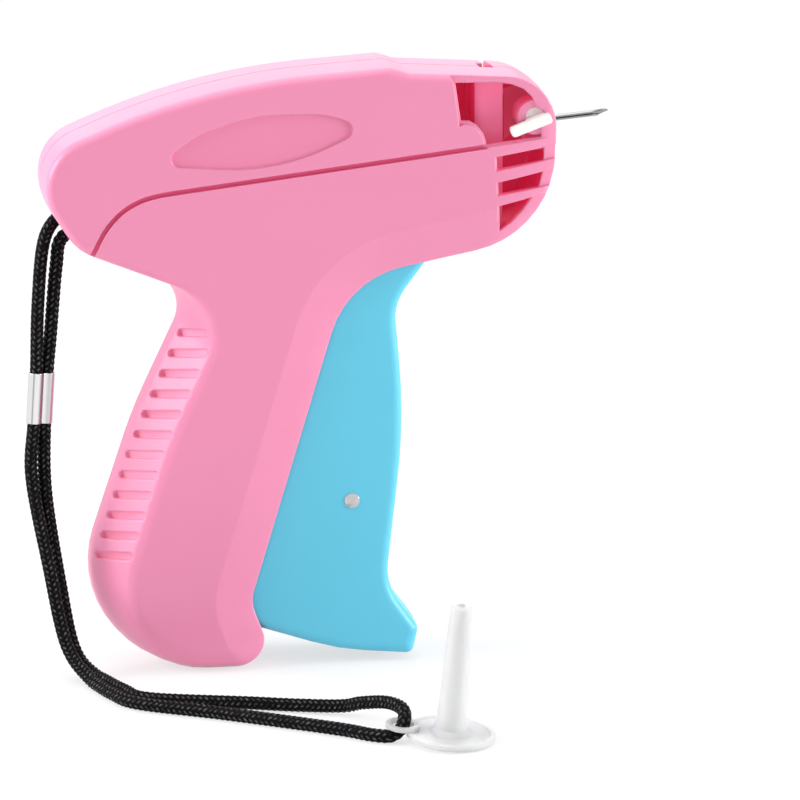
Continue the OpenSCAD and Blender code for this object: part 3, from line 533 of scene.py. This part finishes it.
def flag_edges(node, limit, crease=None):
    """Smooth shading, with sharp edges at creases and where faces meet at over the limit, in degrees."""
    only(node)
    if node.data.has_custom_normals:
        bpy.ops.mesh.customdata_custom_splitnormals_clear()
    bpy.ops.object.shade_smooth()
    mesh = node.data
    where = {}
    number = []
    for vertex in mesh.vertices:
        key = tuple(round(c / SAME_POINT) for c in vertex.co)
        number.append(where.setdefault(key, len(where)))
    meets = {}
    for face in mesh.polygons:
        for loop in face.loop_indices:
            edge = mesh.edges[mesh.loops[loop].edge_index]
            pair = tuple(sorted(number[v] for v in edge.vertices))
            meets.setdefault(pair, []).append((edge.index, face.normal.copy()))
    for sides in meets.values():
        sharp = len(sides) != 2
        if not sharp:
            (index, first), (_, second) = sides
            bend = math.degrees(first.angle(second, 0.0))
            start, end = mesh.edges[index].vertices
            middle = (mesh.vertices[start].co + mesh.vertices[end].co) / 2
            sharp = bend > limit or (crease is not None and crease(middle, bend, first, second))
        if sharp:
            for index, _ in sides:
                mesh.edges[index].use_edge_sharp = True
    weld = node.modifiers.new("Weld", "WELD")
    weld.merge_threshold = SAME_POINT
    even = node.modifiers.new("Even normals", "WEIGHTED_NORMAL")
    even.keep_sharp = True


def dress(names, material, limit=32.0, crease=None):
    """Gives CAD nodes their finish."""
    for name in names:
        node = NODES[name]
        node.data.materials.clear()
        node.data.materials.append(material)
        flag_edges(node, limit, crease)


def bevel_crease(middle, bend, first, second):
    """True on the line where the flat bevel along the trigger side meets the flat side."""
    flat = max(abs(first.y), abs(second.y)) > FLAT_SIDE
    front = middle.x > BEVEL_REAR[0] + BEVEL_REAR[1] * middle.z and middle.z < BEVEL_TOP
    return flat and front and bend > BEVEL_BEND


def shell_tree(names):
    """Search tree over the triangles of some CAD nodes."""
    corners = []
    faces = []
    for name in names:
        mesh = NODES[name].data
        first = len(corners)
        corners += [vertex.co.copy() for vertex in mesh.vertices]
        faces += [[first + v for v in face.vertices] for face in mesh.polygons]
    return BVHTree.FromPolygons(corners, faces)


def covered(tree, face, most, least=0.0):
    """Share of the directions over a face that meet the shell again between two distances."""
    normal = face.normal
    side = normal.orthogonal().normalized()
    other = normal.cross(side)
    start = face.center + normal * RAY_START
    met = 0
    for k in range(VIEW_RAYS):
        rise = (k + 0.5) / VIEW_RAYS
        turn = k * math.pi * (3.0 - math.sqrt(5.0))
        flat = math.sqrt(1.0 - rise * rise)
        way = normal * rise + side * (flat * math.cos(turn)) + other * (flat * math.sin(turn))
        away = tree.ray_cast(start, way, most)[3]
        if away is not None and away > least:
            met += 1
    return met / VIEW_RAYS


def recess_finish(tree, face):
    """Finish of one face of a housing half, by its place, its turn and how far the shell covers it."""
    # How far the shell covers a face decides where the painted glow, light and shade of the finishes go
    at = face.center
    depth = abs(at.y)
    outward = face.normal.y * at.y / max(depth, SAME_POINT)
    nose = at.x > WINDOWS_FROM
    if depth < INNER_FACE and covered(tree, face, INSIDE_REACH, NEAR_WALL) > MOSTLY_COVERED:
        boss = math.hypot(at.x - LOCK_AT[0], at.z - LOCK_AT[1]) < LOCK_RING
        return BEHIND_WINDOW if outward > LOOKS_OUT or boss else INSIDE
    if nose and abs(outward) < CUT_WALL and covered(tree, face, WINDOW_REACH) > WINDOW_COVERED:
        return BEHIND_WINDOW
    grip = at.z < SLOTS_TOP and at.x < GRIP_FRONT[0] + GRIP_FRONT[1] * at.z
    if grip and depth > SLOTS_APART and covered(tree, face, SLOT_REACH) > SLOT_COVERED:
        return GRIP_SLOT
    side = not nose and depth > GROOVE_FLOOR and at.z > GROOVE_FROM
    if side and covered(tree, face, GROOVE_REACH) > MOSTLY_COVERED:
        return LONG_GROOVE
    if side and outward > FLAT_FACE and depth < SIDE_FACE - PANEL_SUNK:
        return OVAL_PANEL
    return OUTSIDE


def line_inside(names, finishes):
    """Gives the inside, the windows, slots, grooves and panels of some CAD nodes finishes of their own."""
    # The finishes given here carry painted glow, painted light and painted shade
    tree = shell_tree(names)
    for name in names:
        mesh = NODES[name].data
        for finish in finishes:
            mesh.materials.append(finish)
        for face in mesh.polygons:
            face.material_index = recess_finish(tree, face)


def on_curve(a, b, c, d, t):
    """Point between b and c, at the share t, on a smooth curve through four points."""
    straight = 2 * b + (c - a) * t
    bend = (2 * a - 5 * b + 4 * c - d) * t * t
    return 0.5 * (straight + bend + (3 * b - a - 3 * c + d) * t ** 3)


def lay_route(points, step, lowest):
    """Even points on a smooth curve through the route, never under the lowest height, and its length."""
    route = [Vector(p) for p in points]
    last = len(route) - 1
    fine = []
    for i in range(last):
        near = (route[max(i - 1, 0)], route[i], route[i + 1], route[min(i + 2, last)])
        for k in range(CURVE_STEPS):
            point = on_curve(*near, k / CURVE_STEPS)
            point.z = max(point.z, lowest)
            fine.append(point)
    fine.append(route[-1])
    for _ in range(SMOOTH_ROUNDS):
        inner = [(fine[i - 1] + 2 * fine[i] + fine[i + 1]) / 4 for i in range(1, len(fine) - 1)]
        fine = [fine[0]] + inner + [fine[-1]]
    reach = [0.0]
    for i in range(1, len(fine)):
        reach.append(reach[-1] + (fine[i] - fine[i - 1]).length)
    count = max(2, round(reach[-1] / step))
    laid = []
    i = 0
    for k in range(count + 1):
        goal = reach[-1] * k / count
        while i < len(fine) - 2 and reach[i + 1] < goal:
            i += 1
        share = (goal - reach[i]) / max(reach[i + 1] - reach[i], 1e-12)
        laid.append(fine[i].lerp(fine[i + 1], min(1.0, share)))
    return laid, reach[-1]


def braid_lift(turn, run, strands):
    """Height of a two-over, two-under braid and the place across its strand.

    The turn is a share of the way round the cord, and the run is a count of pitches along it.
    """
    right = strands * (turn + run)
    left = strands * (turn - run)
    place = (math.floor(right) + math.floor(left)) % 4
    on_top = place < 2
    across = (right if on_top else left) % 1.0 - 0.5
    along = (place % 2 + (left if on_top else right) % 1.0) / 2
    crown = math.sqrt(max(0.0, 1.0 - (2.0 * across) ** 2))
    back = math.sin(math.pi * along) ** BACK_BLUNT
    return crown * (DIVE_HEIGHT + (1.0 - DIVE_HEIGHT) * back), across + 0.5


def braided_tube(name, line, diameter, strands, pitch, relief, sides):
    """Closed tube along a line whose surface has the strands of a round braid."""
    count = len(line)
    tangents = [(line[min(i + 1, count - 1)] - line[max(i - 1, 0)]).normalized() for i in range(count)]
    normal = Vector((0, 1, 0))
    vertices = []
    lifts = []
    fibres = []
    run = 0.0
    for i in range(count):
        normal = (normal - normal.dot(tangents[i]) * tangents[i]).normalized()
        side = tangents[i].cross(normal)
        if i:
            run += (line[i] - line[i - 1]).length
        for k in range(sides):
            turn = k / sides
            lift, fibre = braid_lift(turn, run / pitch, strands)
            radius = diameter / 2 - relief * (1 - lift)
            angle = 2 * math.pi * turn
            vertices.append(line[i] + radius * (math.cos(angle) * normal + math.sin(angle) * side))
            lifts.append(lift)
            fibres.append(fibre)
    faces = []
    for i in range(count - 1):
        for k in range(sides):
            j = (k + 1) % sides
            faces.append((i * sides + k, i * sides + j, (i + 1) * sides + j, (i + 1) * sides + k))
    faces.append(tuple(range(sides - 1, -1, -1)))
    faces.append(tuple((count - 1) * sides + k for k in range(sides)))
    mesh = bpy.data.meshes.new(name)
    mesh.from_pydata(vertices, [], faces)
    mesh.attributes.new("lift", "FLOAT", "POINT").data.foreach_set("value", lifts)
    mesh.attributes.new("fibre", "FLOAT", "POINT").data.foreach_set("value", fibres)
    tube = bpy.data.objects.new(name, mesh)
    bpy.context.scene.collection.objects.link(tube)
    only(tube)
    bpy.ops.object.mode_set(mode="EDIT")
    bpy.ops.mesh.select_all(action="SELECT")
    bpy.ops.mesh.normals_make_consistent(inside=False)
    bpy.ops.object.mode_set(mode="OBJECT")
    bpy.ops.object.shade_smooth()
    return tube


class TOOL_OT_stage(bpy.types.Operator):
    """Sets up the camera, the pale floor, the soft lamps and the white surroundings"""
    bl_idname = "tool.stage"
    bl_label = "Stage"

    def execute(self, context):
        scene = context.scene
        stage = scene.tool_stage
        scene.view_settings.view_transform = "Standard"
        camera = bpy.data.cameras.new("camera")
        camera.lens = stage.lens
        camera.sensor_width = 36.0
        camera.clip_end = 20.0
        scene.camera = aimed("camera", camera, CAMERA_AT, CAMERA_AIM)
        self.floor(stage)
        for name, place, size in LAMPS:
            lamp = bpy.data.lights.new(name, "AREA")
            lamp.size = size
            lamp.energy = getattr(stage, name)
            aimed(name, lamp, place, LAMP_AIM)
        self.surroundings(scene, stage)
        return {"FINISHED"}

    def floor(self, stage):
        """Lays the floor, which keeps the object's shadow and turns plain white far from it."""
        bpy.ops.object.select_all(action="DESELECT")
        bpy.ops.mesh.primitive_plane_add(size=FLOOR_SIZE, location=(0, 0, 0))
        floor = bpy.context.object
        floor.name = "floor"
        finish = Finish(bpy.data.materials.new("pale_floor"))
        place = finish.add("ShaderNodeTexCoord", out="Object")
        cloud = finish.noise(place, scale=3.0)
        matt = finish.add("ShaderNodeBsdfDiffuse", {}, {
            "Color": finish.mix(cloud, shade(WHITE, 0.9), shade(WHITE, 0.92))})
        plain = finish.add("ShaderNodeEmission", {}, {"Color": WHITE, "Strength": 1.0})
        away = finish.add("ShaderNodeVectorMath", {"operation": "LENGTH"}, {0: place}, "Value")
        far = (away * 0.9 - 0.3).clamped()
        share = finish.sees_white() * (far * (1.0 - stage.floor_glow) + stage.floor_glow)
        both = finish.add("ShaderNodeMixShader", {}, {0: share, 1: matt, 2: plain})
        finish.add("ShaderNodeOutputMaterial", {}, {"Surface": both})
        floor.data.materials.append(finish.owner)

    def surroundings(self, scene, stage):
        """Shows a white room, and lights the object evenly at the level of the sky."""
        world = bpy.data.worlds.new("white_room")
        scene.world = world
        finish = Finish(world)
        room = finish.add("ShaderNodeBackground", {}, {"Color": WHITE, "Strength": stage.sky})
        plain = finish.add("ShaderNodeBackground", {}, {"Color": WHITE, "Strength": 1.0})
        both = finish.add("ShaderNodeMixShader", {}, {0: finish.sees_white(), 1: room, 2: plain})
        finish.add("ShaderNodeOutputWorld", {}, {"Surface": both})


class TOOL_OT_wrist_strap(bpy.types.Operator):
    """Lays the braided cord of the wrist strap on its route"""
    bl_idname = "tool.wrist_strap"
    bl_label = "Wrist strap"

    def execute(self, context):
        sizes = context.scene.tool_sizes
        line, length = lay_route(STRAP_ROUTE, CORD_STEP, sizes.cord_d / 2)
        strap = braided_tube(
            "strap_cord", line, sizes.cord_d, sizes.strands, sizes.braid_pitch, sizes.braid_relief,
            CORD_SIDES)
        strap.data.materials.append(braided_cord("black_braid", context.scene.tool_colours.cord))
        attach(strap, "housing")
        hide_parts("wrist_strap")
        [tuple(p) for p in line[::5]] + [tuple(line[-1])]
        return {"FINISHED"}


class TOOL_OT_return_spring(bpy.types.Operator):
    """Winds the return spring behind the swing lever, with a closed turn at each end"""
    bl_idname = "tool.return_spring"
    bl_label = "Return spring"

    def execute(self, context):
        sizes = context.scene.tool_sizes
        wire = sizes.spring_wire
        low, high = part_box("return_spring")
        start = low.x + wire / 2
        end = high.x - wire / 2
        closed = wire * CLOSED_PITCH
        pitch = (end - start - 2 * closed) / SPRING_TURNS
        stretches = (start, closed, 1), (start + closed, pitch, SPRING_TURNS), (end - closed, closed, 1)
        turns = []
        for place, rise, rounds in stretches:
            turns.append(self.wind(place, rise, rounds, wire, sizes.spring_mean, (low.z + high.z) / 2))
        only(*turns)
        bpy.ops.object.join()
        coil = bpy.context.object
        coil.name = "return_coil"
        bpy.ops.object.mode_set(mode="EDIT")
        bpy.ops.mesh.select_all(action="SELECT")
        bpy.ops.mesh.remove_doubles(threshold=SAME_POINT)
        bpy.ops.mesh.fill_holes(sides=0)
        bpy.ops.mesh.select_all(action="SELECT")
        bpy.ops.mesh.normals_make_consistent(inside=False)
        bpy.ops.object.mode_set(mode="OBJECT")
        bpy.ops.object.shade_smooth_by_angle(angle=math.radians(50))
        steel = context.scene.tool_colours.steel
        coil.data.materials.append(
            drawn_steel("spring_steel", steel, rough=0.30, stretch=(900.0, 900.0, 900.0)))
        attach(coil, "housing")
        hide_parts("return_spring")
        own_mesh(coil)
        return {"FINISHED"}

    def wind(self, place, rise, rounds, wire, mean, height):
        """Winds some turns of wire along x, from a place and at one pitch."""
        bpy.ops.object.select_all(action="DESELECT")
        bpy.ops.mesh.primitive_circle_add(
            vertices=WIRE_SIDES, radius=wire / 2, fill_type="NOTHING", location=(0, 0, mean),
            rotation=(math.pi / 2, 0, 0))
        turn = bpy.context.object
        bpy.ops.object.transform_apply(location=True, rotation=True, scale=True)
        screw = turn.modifiers.new("Screw", "SCREW")
        screw.axis = "X"
        screw.screw_offset = rise
        screw.iterations = rounds
        screw.steps = TURN_STEPS
        screw.render_steps = TURN_STEPS
        bpy.ops.object.modifier_apply(modifier="Screw")
        bpy.ops.object.mode_set(mode="EDIT")
        bpy.ops.mesh.select_all(action="SELECT")
        bpy.ops.transform.translate(value=(place, 0.0, height))
        bpy.ops.object.mode_set(mode="OBJECT")
        return turn


class TOOL_OT_housing(bpy.types.Operator):
    """Finishes the two moulded halves"""
    bl_idname = "tool.housing"
    bl_label = "Housing halves"

    def execute(self, context):
        sizes = context.scene.tool_sizes
        colours = context.scene.tool_colours
        halves = ("right_housing", "left_housing")
        edge = sizes.edge
        outside = moulded_plastic("pink_moulding", colours.pink, rough=0.36, edge=edge, seam=sizes.seam)
        dress(halves, outside, limit=35.0, crease=bevel_crease)
        # Painted glow: the inside, recess, slots and groove finishes have emission, the inside and recess
        # deeper pink. Painted shade: the groove and oval finishes are darker pink; painted light: the slots
        # are lighter
        inside = moulded_plastic("pink_inside", colours.inside_glow_pink, rough=0.45, edge=edge, painted_glow=0.08)
        recess = moulded_plastic("pink_recess", colours.recess, rough=0.42, edge=edge, painted_glow=0.08)
        slots = moulded_plastic("pink_slots", colours.slots, rough=0.40, edge=edge, painted_glow=0.03)
        groove = moulded_plastic("pink_groove", colours.groove, rough=0.42, edge=edge, painted_glow=0.04)
        oval = moulded_plastic("pink_oval", colours.oval, rough=0.42, edge=edge)
        line_inside(halves, (inside, recess, slots, groove, oval))
        return {"FINISHED"}


class TOOL_OT_trigger(bpy.types.Operator):
    """Finishes the trigger"""
    bl_idname = "tool.trigger"
    bl_label = "Trigger"

    def execute(self, context):
        scene = context.scene
        blue = moulded_plastic(
            "blue_moulding", scene.tool_colours.blue, rough=0.38, edge=scene.tool_sizes.edge)
        dress(("trigger",), blue, limit=28.0)
        return {"FINISHED"}


class TOOL_OT_white_parts(bpy.types.Operator):
    """Finishes the needle lock, the needle's base and the white pieces of the drive"""
    bl_idname = "tool.white_parts"
    bl_label = "White mouldings"

    def execute(self, context):
        scene = context.scene
        white = moulded_plastic(
            "white_moulding", scene.tool_colours.white, rough=0.42, edge=scene.tool_sizes.edge, grain=0.7)
        dress(("needle_lock", "needle_base", "swing_lever", "slide", "feed_wheel"), white)
        return {"FINISHED"}


class TOOL_OT_steel_parts(bpy.types.Operator):
    """Finishes the pins, screws, needle, rod, blade and leaf springs"""
    bl_idname = "tool.steel_parts"
    bl_label = "Steel parts"

    def execute(self, context):
        colour = context.scene.tool_colours.steel
        turned = drawn_steel("turned_pin", colour, rough=0.26, stretch=(1500.0, 90.0, 1500.0))
        dress(("link_pin", "trigger_pivot_pin", "lever_pivot_pin", "slide_pin", "feed_axle", "strap_pin",
               "housing_screws"), turned)
        # Painted reflection: the needle and push rod get darker steel, for the dark surroundings the needle
        # reflects
        dark = shade(colour, 0.6)
        ground = drawn_steel("ground_needle", dark, rough=0.20, stretch=(120.0, 3200.0, 3200.0))
        dress(("needle", "push_rod"), ground)
        strip = drawn_steel("rolled_strip", colour, rough=0.30, stretch=(110.0, 2200.0, 2200.0))
        dress(("feed_pawl", "detent_spring", "knife_blade"), strip)
        return {"FINISHED"}


class TOOL_OT_sleeve(bpy.types.Operator):
    """Finishes the crimped sleeve on the doubled cord"""
    bl_idname = "tool.sleeve"
    bl_label = "Strap sleeve"

    def execute(self, context):
        dress(("strap_ferrule",), pressed_sleeve("pressed_sleeve", context.scene.tool_colours.sleeve))
        return {"FINISHED"}


class TOOL_OT_needle_cap(bpy.types.Operator):
    """Finishes the milky needle cap"""
    bl_idname = "tool.needle_cap"
    bl_label = "Needle cap"

    def execute(self, context):
        dress(("needle_cap",), milky_plastic("milky_cap", context.scene.tool_colours.milk))
        return {"FINISHED"}


STEPS = (
    "stage", "wrist_strap", "return_spring", "housing", "trigger", "white_parts", "steel_parts", "sleeve",
    "needle_cap",
)


class TOOL_PT_panel(bpy.types.Panel):
    """Lists the steps that finish the tagging tool"""
    bl_idname = "TOOL_PT_panel"
    bl_label = "Tagging tool"
    bl_space_type = "VIEW_3D"
    bl_region_type = "UI"
    bl_category = "Tagging tool"

    def draw(self, context):
        for group in (context.scene.tool_sizes, context.scene.tool_colours, context.scene.tool_stage):
            for name in group.__annotations__:
                self.layout.prop(group, name)
        for step in STEPS:
            self.layout.operator("tool." + step)


CLASSES = (
    ToolSizes, ToolColours, ToolStage, TOOL_OT_stage, TOOL_OT_wrist_strap, TOOL_OT_return_spring,
    TOOL_OT_housing, TOOL_OT_trigger, TOOL_OT_white_parts, TOOL_OT_steel_parts, TOOL_OT_sleeve,
    TOOL_OT_needle_cap, TOOL_PT_panel,
)


def register():
    for item in CLASSES:
        bpy.utils.register_class(item)
    bpy.types.Scene.tool_sizes = bpy.props.PointerProperty(type=ToolSizes)
    bpy.types.Scene.tool_colours = bpy.props.PointerProperty(type=ToolColours)
    bpy.types.Scene.tool_stage = bpy.props.PointerProperty(type=ToolStage)


def unregister():
    del bpy.types.Scene.tool_stage
    del bpy.types.Scene.tool_colours
    del bpy.types.Scene.tool_sizes
    for item in reversed(CLASSES):
        bpy.utils.unregister_class(item)


def main():
    """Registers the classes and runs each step."""
    register()
    bpy.ops.tool.stage()
    bpy.ops.tool.wrist_strap()
    bpy.ops.tool.return_spring()
    bpy.ops.tool.housing()
    bpy.ops.tool.trigger()
    bpy.ops.tool.white_parts()
    bpy.ops.tool.steel_parts()
    bpy.ops.tool.sleeve()
    bpy.ops.tool.needle_cap()


if __name__ == "__main__":
    main()
